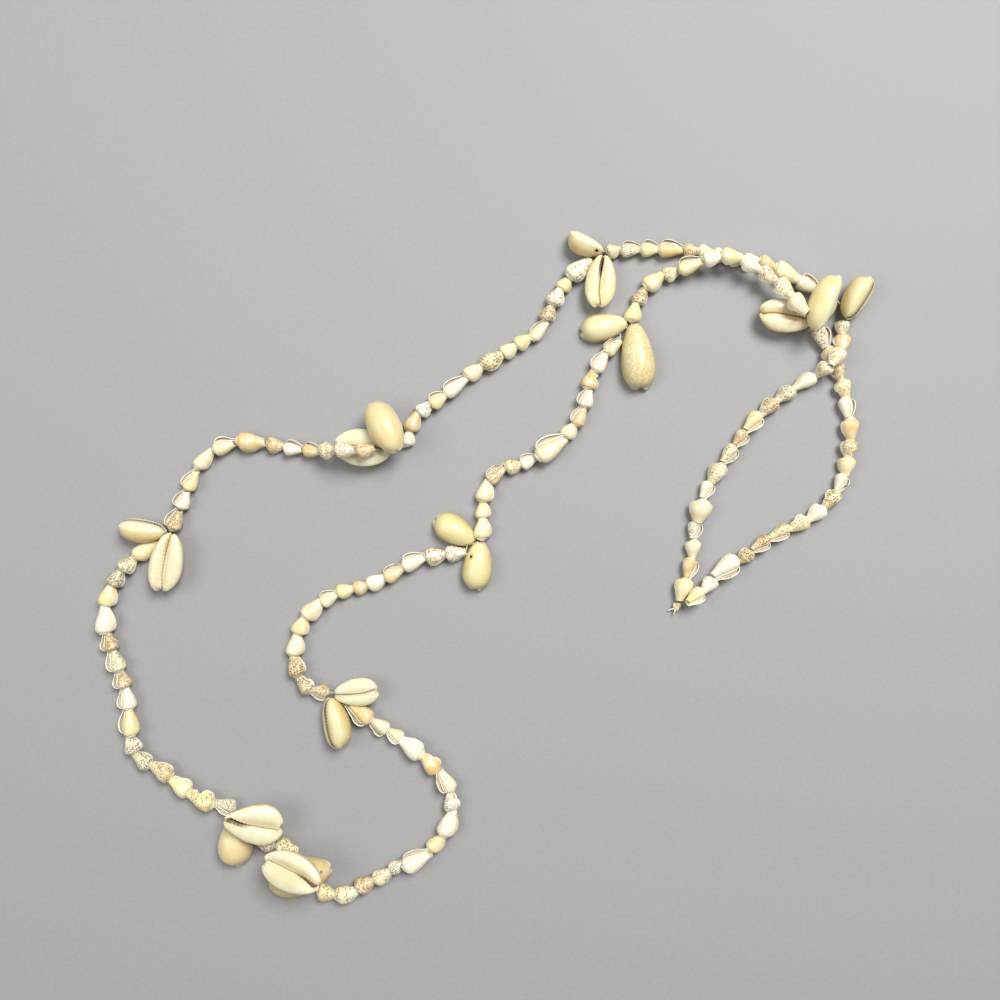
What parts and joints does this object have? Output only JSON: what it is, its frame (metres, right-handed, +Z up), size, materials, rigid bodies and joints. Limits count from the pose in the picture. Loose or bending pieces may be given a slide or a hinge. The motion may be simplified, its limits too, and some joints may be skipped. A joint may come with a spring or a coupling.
{
  "type": "shell necklace",
  "caption": "Long closed string of small pierced sea snail shells with pairs of drilled cowries tied in between and one knot, lying flat in two lobes.",
  "frame": {"origin": "on the surface it lies on, under the middle of the necklace's bounding box", "axes": "+Z up; +X along the longest side of the lying necklace, towards the narrow lobe; +Y away from the viewer"},
  "size_m": [0.3266, 0.2833, 0.0209],
  "materials": {
    "cowrie_shell": "gloss",
    "snail_shell": "gloss",
    "thread": "matte"
  },
  "bodies": {
    "root": {"cowrie_a1_one": "cowrie_shell", "cowrie_a1_two": "cowrie_shell", "cowrie_a2_one": "cowrie_shell", "cowrie_a2_two": "cowrie_shell", "cowrie_a3_one": "cowrie_shell", "cowrie_a3_two": "cowrie_shell", "cowrie_a4_one": "cowrie_shell", "cowrie_a4_two": "cowrie_shell", "cowrie_a5_one": "cowrie_shell", "cowrie_a5_two": "cowrie_shell", "cowrie_b1_one": "cowrie_shell", "cowrie_b1_two": "cowrie_shell", "cowrie_b2_one": "cowrie_shell", "cowrie_b2_two": "cowrie_shell", "cowrie_b3_one": "cowrie_shell", "cowrie_b3_two": "cowrie_shell", "cowrie_b4_one": "cowrie_shell", "cowrie_b4_two": "cowrie_shell", "cowrie_b5_one": "cowrie_shell", "cowrie_b5_two": "cowrie_shell", "shells_a1": "snail_shell", "shells_a2": "snail_shell", "shells_a3": "snail_shell", "shells_a4": "snail_shell", "shells_a5": "snail_shell", "shells_b1": "snail_shell", "shells_b2": "snail_shell", "shells_b3": "snail_shell", "shells_b4": "snail_shell", "shells_b5": "snail_shell", "shells_front": "snail_shell", "knot": "thread"}
  },
  "joints": []
}
